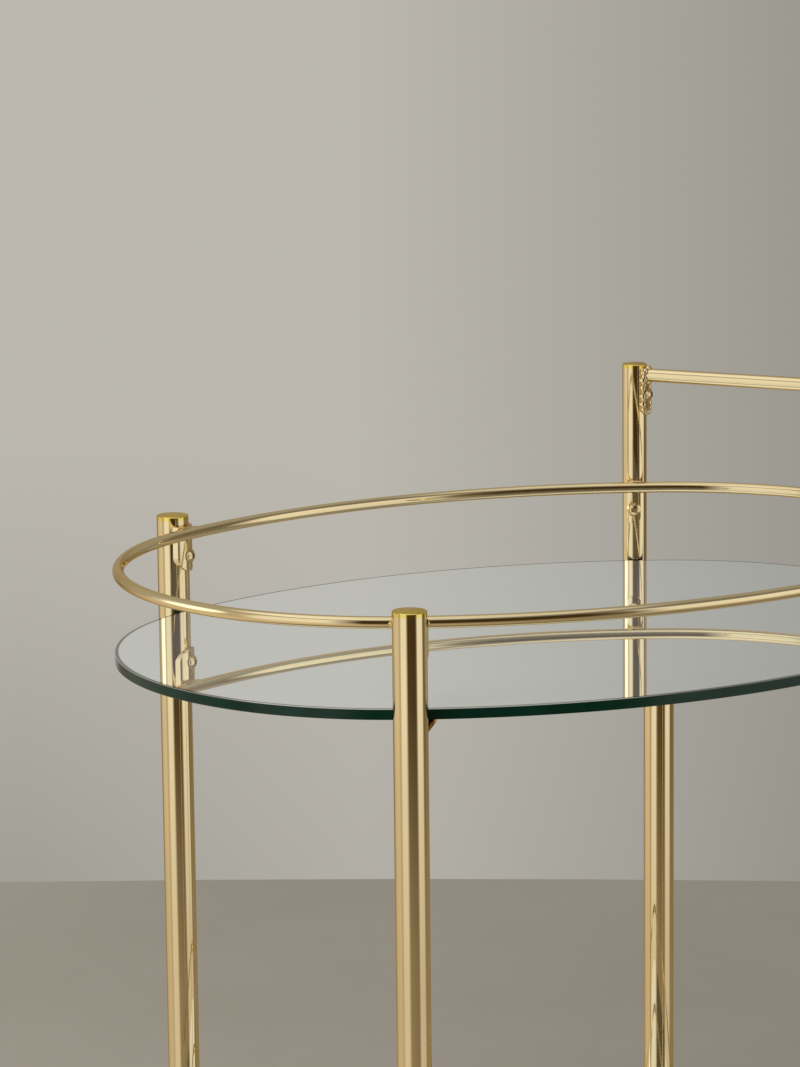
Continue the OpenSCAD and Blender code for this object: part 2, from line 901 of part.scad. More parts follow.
top_mirror();
lower_mirror();
top_rail();
lower_rail();
left_leg(FRONT);  // front_left_leg
left_leg(BACK);  // back_left_leg
right_leg(FRONT);  // front_right_leg
right_leg(BACK);  // back_right_leg
leg_cap(FRONT);  // front_leg_cap
leg_cap(BACK);  // back_leg_cap
handle_post(FRONT);  // front_handle_post
handle_post(BACK);  // back_handle_post
post_caps(FRONT);  // front_post_caps
post_caps(BACK);  // back_post_caps
handle_bar();
handle_saddle(FRONT);  // front_handle_saddle
handle_saddle(BACK);  // back_handle_saddle
left_rail_saddle(FRONT, top_rail_z);  // front_left_rail_saddle
left_rail_saddle(BACK, top_rail_z);  // back_left_rail_saddle
right_rail_saddle(FRONT);  // front_right_rail_saddle
right_rail_saddle(BACK);  // back_right_rail_saddle
left_rail_saddle(FRONT, lower_rail_z);  // front_left_lower_saddle
left_rail_saddle(BACK, lower_rail_z);  // back_left_lower_saddle
right_lower_saddle(FRONT);  // front_right_lower_saddle
right_lower_saddle(BACK);  // back_right_lower_saddle
saddle_screws();
shelf_tongue(FRONT);  // front_shelf_tongue
shelf_tongue(BACK);  // back_shelf_tongue
top_shelf_pads();
lower_shelf_pads();
crossbar(post_xy[0], top_bar_z, post_xy[1], post_r);  // top_crossbar
crossbar(left_xy[0], lower_bar_z, left_xy[1], leg_r);  // lower_left_crossbar
crossbar(right_xy[0], lower_bar_z, right_xy[1], leg_r);  // lower_right_crossbar
lower_stretcher();
leg_plug(FRONT);  // front_leg_plug
leg_plug(BACK);  // back_leg_plug
wheel_axle();
axle_spacers();
axle_nut(FRONT);  // front_axle_nut
axle_nut(BACK);  // back_axle_nut
wheel(FRONT);  // front_wheel
wheel(BACK);  // back_wheel
tyre(FRONT);  // front_tyre
tyre(BACK);  // back_tyre
bush(FRONT);  // front_bush
bush(BACK);  // back_bush
caster_socket(FRONT);  // front_caster_socket
caster_socket(BACK);  // back_caster_socket
caster_fork(FRONT);  // front_caster_fork
caster_fork(BACK);  // back_caster_fork
caster_axle(FRONT);  // front_caster_axle
caster_axle(BACK);  // back_caster_axle
caster_wheel(FRONT);  // front_caster_wheel
caster_wheel(BACK);  // back_caster_wheel
caster_tyre(FRONT);  // front_caster_tyre
caster_tyre(BACK);  // back_caster_tyre
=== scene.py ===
"""Looks of an oval two-shelf dessert trolley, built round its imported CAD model.

Lengths are in metres, except in names that end in _PX, _MM or _DEG. The photograph's view looks from
the front left, a little above the top shelf. "front" is the -Y side, "back" the +Y side, and the handle
is at +X.
"""
import json
import math
import random

import bpy
from mathutils import Matrix, Vector


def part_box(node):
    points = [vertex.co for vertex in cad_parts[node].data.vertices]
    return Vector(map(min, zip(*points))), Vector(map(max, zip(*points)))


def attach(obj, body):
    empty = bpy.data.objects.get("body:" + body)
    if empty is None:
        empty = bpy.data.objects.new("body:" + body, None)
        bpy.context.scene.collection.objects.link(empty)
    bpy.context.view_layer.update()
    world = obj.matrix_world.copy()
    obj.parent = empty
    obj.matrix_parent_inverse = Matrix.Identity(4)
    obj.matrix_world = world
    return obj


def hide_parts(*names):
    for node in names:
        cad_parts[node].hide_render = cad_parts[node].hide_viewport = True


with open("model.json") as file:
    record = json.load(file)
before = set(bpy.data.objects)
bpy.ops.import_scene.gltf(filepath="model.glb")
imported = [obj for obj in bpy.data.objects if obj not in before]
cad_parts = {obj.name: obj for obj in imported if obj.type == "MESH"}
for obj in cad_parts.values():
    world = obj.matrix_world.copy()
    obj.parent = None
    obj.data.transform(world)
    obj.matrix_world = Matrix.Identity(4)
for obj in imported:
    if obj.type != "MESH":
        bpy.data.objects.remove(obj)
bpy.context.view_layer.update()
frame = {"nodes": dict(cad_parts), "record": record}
nodes = frame["nodes"]

# ---- Camera: the photograph's view, fitted to the outlines of the shelf, rail and legs ----
IMAGE_H_PX = 1067
SENSOR_MM = 36.0
FOCAL_PX = 4362.0
CAMERA_AT = Vector((-1.5251, -2.8882, 1.3555))
CAMERA_AZ_DEG = 25.968
CAMERA_DOWN_DEG = 10.759
CAMERA_ROLL_DEG = -0.65

# ---- Studio: tones of the wall and of what the polished metal reflects ----
WALL = (0.540, 0.516, 0.460)
# Painted shade: the wall's tone on the picture's right, as a share of its tone on the left
WALL_RIGHT_SHADE = 0.68
# What the mirror shows of the wall, as a share of the wall's own colour
WALL_IN_MIRROR = (1.010, 1.024, 1.048)
BRIGHT = (0.92, 0.89, 0.84)
MID = (0.63, 0.56, 0.455)
DIM = (0.30, 0.24, 0.17)
DARK = (0.055, 0.033, 0.012)
FAR = (0.43, 0.41, 0.37)
FLOOR_TONE = (0.46, 0.38, 0.28)
# Lean of the ceiling panel's axis towards the camera's left, and the angles from it where it fades
CEILING_LEAN_DEG = 8.0
CEILING_AROUND_DEG = -50.0
CEILING_FADE_DEG = (36.0, 28.0)
# Small bright window on the camera's left that gives the rods their glints
WINDOW_AROUND_DEG = -90.0
WINDOW_UP_DEG = 9.0
WINDOW_FADE_DEG = (19.0, 13.0)
WINDOW_LIGHT = 1.9
# Far edge of the floor beyond the trolley, along the camera's direction, and the floor's radius
FLOOR_BEYOND = 1.69
FLOOR_R = 9.0
# How far the floor's edge turns from square to the camera, which levels it in the picture
FLOOR_TURN_DEG = 2.9
# Painted light on the floor: its tone on the camera's left and right, lighter on the left and darker on the
# right, and how far out these are reached
FLOOR_LIGHT_FALLOFF = (1.10, 0.82)
FLOOR_LIGHT_FALLOFF_AT = 0.7

# ---- Metal tones ----
GOLD = (0.885, 0.745, 0.455)
CAP_GOLD = (0.90, 0.725, 0.20)
SCREW_GOLD = (0.80, 0.64, 0.36)

# ---- Sizes that the nodes' boxes don't give ----
SHELF_END_R = 0.215
RAIL_R = 0.0045
RAIL_INSET = 0.004
SADDLE_T = 0.0025
HANDLE_R = 0.0055
HANDLE_SPLAY_DEG = 52.0
HANDLE_BEND_R = 0.150
POST_SADDLE_DEG = 26.0
RAIL_SADDLE_UP = 0.005
SADDLE_UP = 0.006
SADDLE_DOWN = 0.031
BAR_R = 0.010
WHEEL_RIM_T = 0.005
TYRE_H = 0.010
CASTER_TYRE_H = 0.007
HUB_R = 0.015
SPOKE_R = 0.003
SPOKES = 10
# Width of the dark margin on the silvered face: a painted reflection of the glass's dark edge, seen through
# the glass
PAINTED_EDGE_REFLECTION_W = 0.0032
# Share of the silvered face that mirrors; the rest scatters, as dust and fine wipe marks do
MIRROR_METAL = 0.86


# ---- The shelf's four-arc oval ----

_, shelf_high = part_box("top_mirror")
half_l, half_w = shelf_high[0], shelf_high[1]
end_c = half_l - SHELF_END_R
side_r = (end_c ** 2 + half_w ** 2 - SHELF_END_R ** 2) / (2 * (half_w - SHELF_END_R))
side_c = side_r - half_w
end_angle = math.atan2(side_c, end_c)


def oval(angle, inset):
    """Point and outward normal of the oval whose normal has this angle from +X."""
    normal = Vector((math.cos(angle), math.sin(angle), 0))
    if abs(normal.y) <= math.sin(end_angle):
        centre, radius = Vector((math.copysign(end_c, normal.x), 0, 0)), SHELF_END_R
    else:
        centre, radius = Vector((0, math.copysign(side_c, -normal.y), 0)), side_r
    return centre + normal * (radius - inset), normal


def oval_angle(point):
    """Angle of the oval's normal that passes through a point."""
    x, y = abs(point.x), abs(point.y)
    if (x - end_c) * side_c > y * end_c:
        angle = math.atan2(y, x - end_c)
    else:
        angle = math.atan2(y + side_c, x)
    return math.atan2(math.copysign(math.sin(angle), point.y), math.copysign(math.cos(angle), point.x))


# ---- Camera ----

def camera_axes():
    """Right, up and forward of the photograph's camera."""
    az, down, roll = (math.radians(v) for v in (CAMERA_AZ_DEG, CAMERA_DOWN_DEG, CAMERA_ROLL_DEG))
    forward = Vector((math.sin(az) * math.cos(down), math.cos(az) * math.cos(down), -math.sin(down)))
    right = Vector((math.cos(az), -math.sin(az), 0))
    up = right.cross(forward)
    return (right * math.cos(roll) + up * math.sin(roll),
            up * math.cos(roll) - right * math.sin(roll), forward)


def add_camera():
    """Camera at the photograph's viewpoint, without shift."""
    data = bpy.data.cameras.new("camera")
    data.sensor_width = SENSOR_MM
    data.lens = FOCAL_PX * SENSOR_MM / IMAGE_H_PX
    camera = bpy.data.objects.new("camera", data)
    bpy.context.scene.collection.objects.link(camera)
    right, up, forward = camera_axes()
    turn = Matrix((right, up, -forward)).transposed()
    camera.matrix_world = Matrix.Translation(CAMERA_AT) @ turn.to_4x4()
    bpy.context.scene.camera = camera


# ---- Node helpers ----

class Shader:
    """A node tree with short calls for its nodes."""

    def __init__(self, name, tree=None):
        if tree is None:
            self.material = bpy.data.materials.new(name)
            self.material.use_nodes = True
            tree = self.material.node_tree
            self.bsdf = tree.nodes["Principled BSDF"]
        self.tree = tree

    def node(self, kind, **settings):
        made = self.tree.nodes.new(kind)
        for key, value in settings.items():
            setattr(made, key, value)
        return made

    def put(self, into, value):
        """Links a socket to an input, or sets the input's constant."""
        if isinstance(value, bpy.types.NodeSocket):
            self.tree.links.new(value, into)
        elif value is not None:
            into.default_value = value

    def place(self):
        """Where the shaded point lies on its object."""
        return self.node("ShaderNodeTexCoord").outputs["Object"]

    def noise(self, scale, detail=2.0, roughness=0.5, vector=None):
        n = self.node("ShaderNodeTexNoise")
        n.inputs["Scale"].default_value = scale
        n.inputs["Detail"].default_value = detail
        n.inputs["Roughness"].default_value = roughness
        self.put(n.inputs["Vector"], vector or self.place())
        return n.outputs["Fac"]

    def math(self, operation, a, b=None):
        n = self.node("ShaderNodeMath", operation=operation)
        self.put(n.inputs[0], a)
        self.put(n.inputs[1], b)
        return n.outputs[0]

    def vector(self, operation, a, b=None, output="Vector"):
        n = self.node("ShaderNodeVectorMath", operation=operation)
        self.put(n.inputs[0], a)
        self.put(n.inputs[1], b)
        return n.outputs[output]

    def split(self, vector):
        n = self.node("ShaderNodeSeparateXYZ")
        self.put(n.inputs[0], vector)
        return n.outputs

    def ramp(self, fac, stops):
        n = self.node("ShaderNodeValToRGB")
        for i, (at, colour) in enumerate(stops):
            e = n.color_ramp.elements[i] if i < 2 else n.color_ramp.elements.new(at)
            e.position = at
            e.color = (*colour, 1)
        self.put(n.inputs["Fac"], fac)
        return n.outputs["Color"]

    def remap(self, value, low, high, to_low=0.0, to_high=1.0):
        """Clamped straight line from one range to another."""
        n = self.node("ShaderNodeMapRange")
        for i, v in enumerate((value, low, high, to_low, to_high)):
            self.put(n.inputs[i], v)
        return n.outputs[0]

    def mix(self, fac, a, b, blend="MIX"):
        n = self.node("ShaderNodeMix", data_type="RGBA", blend_type=blend)
        self.put(n.inputs[0], fac)
        for slot, value in ((6, a), (7, b)):
            self.put(n.inputs[slot], value if isinstance(value, bpy.types.NodeSocket) else (*value, 1))
        return n.outputs[2]

    def bump(self, height, distance, strength):
        n = self.node("ShaderNodeBump")
        n.inputs["Distance"].default_value = distance
        n.inputs["Strength"].default_value = strength
        self.put(n.inputs["Height"], height)
        return n.outputs["Normal"]

    def set(self, **values):
        """Feeds the material's own sockets; underscores stand for spaces."""
        for key, value in values.items():
            self.put(self.bsdf.inputs[key.replace("_", " ")], value)


def scaled(colour, k):
    """The colour with each of its parts times k."""
    return tuple(c * k for c in colour)


# ---- Materials ----

def polished_gold(name, colour, rough, wave):
    """Mirror-polished plate: faint waviness, clouding and fine wipe marks."""
    s = Shader(name)
    cloud = s.remap(s.noise(14.0, 3.0), 0.3, 0.7)
    tint = s.mix(cloud, scaled(colour, 0.965), scaled(colour, 1.02))
    haze = s.remap(s.noise(60.0, 4.0, 0.6), 0.3, 0.75, rough * 0.6, rough * 1.5)
    wipes = s.noise(1.0, 3.0, 0.7, s.vector("MULTIPLY", s.place(), (900.0, 900.0, 60.0)))
    s.set(Base_Color=tint, Metallic=1.0, Specular_Tint=(0.72, 0.60, 0.42, 1))
    s.set(Roughness=s.math("ADD", haze, s.remap(wipes, 0.55, 0.8, 0.0, rough * 0.8)))
    s.set(Normal=s.bump(s.noise(22.0, 1.0), 0.001, wave))
    return s.material


def edge_distance(s):
    """Distance of the shaded point from the shelf's outline, measured inwards."""
    place = s.vector("MULTIPLY", s.vector("ABSOLUTE", s.place()), (1, 1, 0))
    x, y, _ = s.split(place)
    from_end = s.vector("DISTANCE", place, (end_c, 0, 0), "Value")
    from_side = s.vector("DISTANCE", place, (0, -side_c, 0), "Value")
    past = s.math("SUBTRACT", s.math("MULTIPLY", s.math("SUBTRACT", x, end_c), side_c),
                  s.math("MULTIPLY", y, end_c))
    in_end = s.math("GREATER_THAN", past, 0.0)
    n = s.node("ShaderNodeMix")
    s.put(n.inputs[0], in_end)
    s.put(n.inputs[2], s.math("SUBTRACT", side_r, from_side))
    s.put(n.inputs[3], s.math("SUBTRACT", SHELF_END_R, from_end))
    return n.outputs[0]


def mirror_glass():
    """Silvered face above with a thin dark margin, a painted reflection of the glass's dark edge seen
    through the glass, painted back below, dark green edge between.
    """
    s = Shader("mirror_glass")
    facing = s.split(s.node("ShaderNodeNewGeometry").outputs["Normal"])[2]
    up = s.remap(facing, 0.45, 0.65)
    down = s.remap(facing, -0.9, -0.99)
    edge = s.mix(s.remap(s.noise(35.0), 0.3, 0.7), (0.001, 0.024, 0.013), (0.003, 0.036, 0.022))
    back = s.mix(s.noise(90.0, 4.0), (0.20, 0.21, 0.20), (0.27, 0.28, 0.27))
    # Painted reflection: a dark band round the silvered face, where the glass's edge would show through the
    # glass
    edge_reflection = s.math("MULTIPLY", s.remap(edge_distance(s), PAINTED_EDGE_REFLECTION_W, PAINTED_EDGE_REFLECTION_W * 0.75),
                    s.remap(facing, 0.9, 0.99))
    bevel = s.math("MULTIPLY", up, s.remap(facing, 0.98, 0.9))
    silver = s.mix(edge_reflection, (0.935, 0.975, 0.985), (0.13, 0.15, 0.14))
    faced = s.mix(bevel, s.mix(up, edge, silver), (0.50, 0.50, 0.48))
    s.set(Base_Color=s.mix(down, faced, back), Metallic=s.math("MULTIPLY", up, MIRROR_METAL))
    s.set(Roughness=s.math("ADD", s.remap(up, 0.0, 1.0, 0.10, 0.012), s.math("MULTIPLY", down, 0.4)))
    s.set(Specular_IOR_Level=0.25)
    return s.material


def rubber(name, dark, light):
    """Matt rubber with fine pores and a little dust."""
    s = Shader(name)
    dust = s.remap(s.noise(45.0, 5.0, 0.65), 0.5, 0.75, 0.0, 0.6)
    s.set(Base_Color=s.mix(dust, s.mix(s.noise(150.0, 4.0), dark, light), scaled(light, 1.7)))
    s.set(Roughness=s.remap(s.noise(40.0), 0.3, 0.7, 0.55, 0.75))
    s.set(Normal=s.bump(s.noise(900.0, 3.0), 0.0003, 0.5))
    return s.material


def bronze():
    """Dull cast bronze, cloudy in colour."""
    s = Shader("bush_bronze")
    s.set(Base_Color=s.mix(s.noise(80.0, 4.0), (0.36, 0.20, 0.09), (0.52, 0.33, 0.15)), Metallic=1.0)
    s.set(Roughness=s.remap(s.noise(150.0), 0.3, 0.7, 0.25, 0.4))
    return s.material


looks = {
    "frame_gold": polished_gold("frame_gold", GOLD, 0.035, 0.03),
    "wheel_gold": polished_gold("wheel_gold", GOLD, 0.06, 0.04),
    "fitting_gold": polished_gold("fitting_gold", CAP_GOLD, 0.08, 0.06),
    "screw_gold": polished_gold("screw_gold", SCREW_GOLD, 0.09, 0.08),
    "mirror_glass": mirror_glass(),
    "tyre_rubber": rubber("tyre_rubber", (0.012, 0.012, 0.011), (0.025, 0.025, 0.023)),
    "pad_rubber": rubber("pad_rubber", (0.22, 0.22, 0.21), (0.30, 0.30, 0.29)),
    "bush_bronze": bronze(),
}
node_looks = {"saddle_screws": "screw_gold"}


def dress_nodes():
    """Gives every node the look of its material slot."""
    for part in frame["record"]["subparts"]:
        name = part["node"]
        nodes[name].data.materials.clear()
        nodes[name].data.materials.append(looks[node_looks.get(name, part["material_slot"])])


# ---- Mesh helpers ----

def piece(name, verts, faces, body, slot, sharp_deg=40.0):
    """New object with a look, a slot and the body that it rides on."""
    mesh = bpy.data.meshes.new(name)
    mesh.from_pydata(verts, [], faces)
    mesh.validate()
    mesh.shade_smooth()
    mesh.set_sharp_from_angle(angle=math.radians(sharp_deg))
    mesh.materials.append(looks[slot])
    made = bpy.data.objects.new(name, mesh)
    bpy.context.scene.collection.objects.link(made)
    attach(made, body)
    return made


def skin(loops, closed=False):
    """Vertices and faces of a tube through equal loops of points, with flat ends unless it is closed."""
    count, around = len(loops), len(loops[0])
    verts = [p for loop in loops for p in loop]
    faces = []
    for i in range(count if closed else count - 1):
        a, b = i * around, (i + 1) % count * around
        for j in range(around):
            k = (j + 1) % around
            faces.append((a + j, a + k, b + k, b + j))
    if not closed:
        faces.append(tuple(range(around))[::-1])
        faces.append(tuple(range((count - 1) * around, count * around)))
    return verts, faces


def joined(shells):
    """Vertices and faces of several shells as one mesh."""
    verts, faces = [], []
    for some_verts, some_faces in shells:
        base = len(verts)
        verts += some_verts
        faces += [tuple(i + base for i in f) for f in some_faces]
    return verts, faces


def ring(centre, u, v, radius, sides):
    """Points of a circle in the plane of u and v."""
    return [centre + (u * math.cos(t) + v * math.sin(t)) * radius
            for t in (2 * math.pi * j / sides for j in range(sides))]


def lathe(centre, axis, profile, sides):
    """Closed body of revolution: profile is a closed outline of (radius, place along the axis)."""
    side = axis.orthogonal().normalized()
    other = axis.cross(side)
    loops = []
    for j in range(sides):
        t = 2 * math.pi * j / sides
        out = side * math.cos(t) + other * math.sin(t)
        loops.append([centre + out * r + axis * h for r, h in profile])
    return skin(loops, closed=True)


# Mean size of a weld's lumps, as a share of its radius
LUMP_SIZE = 0.975


def bead(path, radius, pitch, seed, closed=False, rise=0.20, spread=0.175, sides=10):
    """Lumpy weld bead along a dense path: rise is the lumps' height and spread their unevenness."""
    rng = random.Random(seed)
    count = len(path)
    length = sum((path[i + 1] - path[i]).length for i in range(count - 1))
    lumps = max(2, round(length / pitch))
    jitter = [rng.uniform(LUMP_SIZE - spread, LUMP_SIZE + spread) for _ in range(lumps + 1)]
    loops = []
    u = None
    for i, p in enumerate(path):
        ahead = path[(i + 1) % count] if closed else path[min(i + 1, count - 1)]
        behind = path[i - 1] if closed else path[max(i - 1, 0)]
        along = (ahead - behind).normalized()
        u = (along.orthogonal() if u is None else u - along * u.dot(along)).normalized()
        share = i / count if closed else i / (count - 1)
        at = share * lumps
        swell = (1 - rise + rise * abs(math.sin(math.pi * at)) * 2) * jitter[int(at) % lumps]
        end = 1.0 if closed else min(1.0, math.sqrt(max(0.0, 1 - abs(2 * share - 1) ** 12)) + 0.12)
        loops.append(ring(p, u, along.cross(u), radius * swell * end, sides))
    return skin(loops, closed)


# ---- Rods with fine meshes ----

def rail(name, count=900, sides=40):
    """The gallery rail's rod as one even ring along the oval."""
    low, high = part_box(name)
    z = (low[2] + high[2]) / 2
    loops = []
    for i in range(count):
        at, normal = oval(2 * math.pi * i / count, RAIL_INSET)
        loops.append(ring(Vector((at.x, at.y, z)), normal, Vector((0, 0, 1)), RAIL_R, sides))
    made = piece(name + "_rod", *skin(loops, closed=True), "frame", "frame_gold")
    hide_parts(name)


def centre_of(name):
    """Middle of a node's box."""
    low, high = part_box(name)
    return Vector(((low[0] + high[0]) / 2, (low[1] + high[1]) / 2, (low[2] + high[2]) / 2))


def radius_of(name):
    """Radius of an upright, from its node's box."""
    low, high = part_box(name)
    return (high[0] - low[0]) / 2


def handle(count=160, sides=48):
    """The push handle's rod: straight ends that leave the posts' saddles, and one bend between."""
    post, post_r = centre_of("back_handle_post"), radius_of("back_handle_post")
    z = centre_of("handle_bar").z
    splay = math.radians(HANDLE_SPLAY_DEG)
    out = Vector((math.cos(splay), -math.sin(splay), 0))
    start = Vector((post.x, post.y, z)) + out * (post_r + SADDLE_T)
    bend_y = HANDLE_BEND_R * math.cos(splay)
    reach = (start.y - bend_y) / math.sin(splay)
    corner = start + out * reach
    bend_c = Vector((corner.x - HANDLE_BEND_R * math.sin(splay), 0, z))
    half_bend = math.pi / 2 - splay
    straight = 12
    path = [start + out * reach * i / straight for i in range(straight)]
    for i in range(count + 1):
        t = half_bend - 2 * half_bend * i / count
        path.append(bend_c + Vector((math.cos(t), math.sin(t), 0)) * HANDLE_BEND_R)
    path += [Vector((p.x, -p.y, p.z)) for p in path[:straight][::-1]]
    loops = []
    for i, p in enumerate(path):
        along = (path[min(i + 1, len(path) - 1)] - path[max(i - 1, 0)]).normalized()
        loops.append(ring(p, along.cross(Vector((0, 0, 1))), Vector((0, 0, 1)), HANDLE_R, sides))
    made = piece("handle_rod", *skin(loops), "frame", "frame_gold")
    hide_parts("handle_bar")


# ---- Welds ----

# How far a rail's weld reaches past the upright, and how far round the rod it goes
WELD_PAST = 0.0008
WELD_ROUND_DEG = 55.0
WELD_R = 0.0013
WELD_PITCH = 0.0040
WELD_STEPS = 120
HANDLE_WELD_R = 0.0019
HANDLE_WELD_PITCH = 0.0060
# How far outside the post the bead round the handle's saddle plate lies
HANDLE_WELD_SEAT = 0.0017
BAR_WELD_R = 0.0012
BAR_WELD_PITCH = 0.003
# How far outside the welded edge a bead's middle runs
WELD_OUT = 0.0004


def rod_weld(name, upright, outboard, seed):
    """Bead round the place where a rail's rod lies on the saddle of an upright."""
    post, post_r = centre_of(upright), radius_of(upright)
    _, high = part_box(name.replace("_weld", "_saddle"))
    z = high[2] - RAIL_SADDLE_UP
    angle = oval_angle(post)
    _, normal = oval(angle, 0)
    towards = -normal if outboard else normal
    along = Vector((-normal.y, normal.x, 0))
    contact = Vector((post.x, post.y, z)) + towards * (post_r + SADDLE_T + RAIL_R)
    curve_r = SHELF_END_R if abs(normal.y) <= math.sin(end_angle) else side_r
    path = []
    for i in range(WELD_STEPS):
        t = 2 * math.pi * i / WELD_STEPS
        s = (post_r + WELD_PAST) * math.cos(t)
        off = math.radians(WELD_ROUND_DEG) * math.sin(t)
        sag = s * s / (2 * (curve_r - RAIL_INSET))
        path.append(contact + along * s - normal * sag
                    + (Vector((0, 0, 1)) * math.sin(off) - towards * math.cos(off)) * RAIL_R)
    shell = bead(path, WELD_R, WELD_PITCH, seed, closed=True, rise=0.07, spread=0.06)
    piece(name, *shell, "frame", "frame_gold")


def handle_weld(side, seed):
    """Bead round the handle's saddle plate and another round the rod that stands on it."""
    upright = side + "_handle_post"
    post, post_r = centre_of(upright), radius_of(upright)
    z = centre_of("handle_bar").z
    back = 1 if side == "back" else -1
    splay = math.radians(HANDLE_SPLAY_DEG)
    out = Vector((math.cos(splay), -math.sin(splay) * back, 0))
    across = Vector((0, 0, 1)).cross(out)
    at = Vector((post.x, post.y, z))
    plate_r = post_r + SADDLE_T
    half = plate_r * math.sin(math.radians(POST_SADDLE_DEG)) + WELD_OUT

    def on_tube(radius, y, up):
        """Point on a tube round the post, y across the handle and up from its rod."""
        return at + out * math.sqrt(max(radius ** 2 - y ** 2, 0)) + across * y + Vector((0, 0, up))

    steps, foot_steps = 60, 72
    seat_r = post_r + HANDLE_WELD_SEAT
    bend_up = -SADDLE_DOWN + half
    sides_up = [SADDLE_UP + (bend_up - SADDLE_UP) * i / steps for i in range(steps + 1)]
    outline = [on_tube(seat_r, -half, up) for up in sides_up]
    for i in range(1, steps):
        t = math.pi + math.pi * i / steps
        outline.append(on_tube(seat_r, half * math.cos(t), bend_up + half * math.sin(t)))
    outline += [on_tube(seat_r, half, up) for up in sides_up[::-1]]
    foot_r = HANDLE_R + WELD_OUT
    foot = [on_tube(plate_r, foot_r * math.cos(t), foot_r * math.sin(t))
            for t in (2 * math.pi * i / foot_steps for i in range(foot_steps))]

    shells = [bead(outline, HANDLE_WELD_R, HANDLE_WELD_PITCH, seed, rise=0.32),
              bead(foot, HANDLE_WELD_R, HANDLE_WELD_PITCH, seed + 1, closed=True, rise=0.25)]
    piece(side + "_handle_weld", *joined(shells), "frame", "frame_gold")


def bar_weld(name, upright, bar, back, from_deg, to_deg, seed):
    """Bead where a crossbar along Y meets an upright, on the side that faces the middle."""
    post, upright_r = centre_of(upright), radius_of(upright)
    bar_z = centre_of(bar).z
    path = []
    steps = 72
    for i in range(steps + 1):
        t = math.radians(from_deg + (to_deg - from_deg) * i / steps)
        x = BAR_R * math.cos(t)
        y = math.sqrt(max(upright_r ** 2 - x ** 2, 0.0))
        path.append(Vector((post.x + x, post.y - back * y, bar_z + BAR_R * math.sin(t))))
    closed = to_deg - from_deg >= 360
    if closed:
        path.pop()
    shell = bead(path, BAR_WELD_R, BAR_WELD_PITCH, seed, closed=closed)
    piece(name, *shell, "frame", "frame_gold")


def add_welds():
    """All weld beads of the frame."""
    for i, side in enumerate(("front", "back")):
        back = 1 if side == "back" else -1
        left_leg, right_leg, post = side + "_left_leg", side + "_right_leg", side + "_handle_post"
        rod_weld(side + "_left_rail_weld", left_leg, True, 11 + i)
        rod_weld(side + "_left_lower_weld", left_leg, True, 21 + i)
        rod_weld(side + "_right_rail_weld", post, True, 31 + i)
        rod_weld(side + "_right_lower_weld", right_leg, False, 41 + i)
        handle_weld(side, 51 + 4 * i)
        bar_weld(side + "_left_bar_weld", left_leg, "lower_left_crossbar", back, 0, 360, 61 + i)
        bar_weld(side + "_right_bar_weld", right_leg, "lower_right_crossbar", back, 0, 360, 65 + i)
        bar_weld(side + "_top_bar_weld", right_leg, "top_crossbar", back, 180, 360, 69 + i)


# ---- Wheels ----

# Depth of a tyre's side line, and width and depth of its tread grooves
TYRE_LINE_D = 0.0005
GROOVE_W = 0.0012
GROOVE_D = 0.0010
# How far the tyre's mesh starts outside its seat, so that the two faces don't coincide
TYRE_SEAT_GAP = 0.00003
# Collars at the spokes' feet: radii at hub and rim, length, and how deep the feet sink in
COLLAR_R_HUB = 0.0052
COLLAR_R_RIM = 0.0046
COLLAR_L = 0.0050
COLLAR_SUNK = 0.0008
# Turned rings on the hub: section radius, distance from the wheel's middle plane, and depth in the hub
HUB_RING_R = 0.0014
HUB_RING_AT = 0.0128
HUB_RING_SUNK = 0.0010


def arc(cx, cy, radius, from_deg, to_deg, steps):
    """Points of a flat arc."""
    return [(cx + radius * math.cos(t), cy + radius * math.sin(t))
            for t in (math.radians(from_deg + (to_deg - from_deg) * i / steps) for i in range(steps + 1))]


def tyre(node, body, height, grooves):
    """Tyre with rounded shoulders, grooves round its tread and a fine line on each side."""
    low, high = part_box(node)
    centre = centre_of(node)
    outer, half = (high[2] - low[2]) / 2, (high[1] - low[1]) / 2
    inner = outer - height + TYRE_SEAT_GAP
    shoulder = min(2 * half, height) * 0.45
    line_r, line_w = inner + height * 0.28, height * 0.05
    flat = half - shoulder
    outline = [(inner, -half), (line_r - line_w, -half), (line_r, -half + TYRE_LINE_D),
               (line_r + line_w, -half)]
    outline += arc(outer - shoulder, -flat, shoulder, -90, 0, 10)
    for g in range(grooves):
        y = flat * (2 * (g + 1) / (grooves + 1) - 1)
        outline += [(outer, y - GROOVE_W), (outer - GROOVE_D, y - GROOVE_W / 2),
                    (outer - GROOVE_D, y + GROOVE_W / 2), (outer, y + GROOVE_W)]
    outline += arc(outer - shoulder, flat, shoulder, 0, 90, 10)
    outline += [(line_r + line_w, half), (line_r, half - TYRE_LINE_D), (line_r - line_w, half),
                (inner, half)]
    shell = lathe(centre, Vector((0, 1, 0)), outline, 144)
    made = piece(node + "_tread", *shell, body, "tyre_rubber", 30.0)
    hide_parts(node)


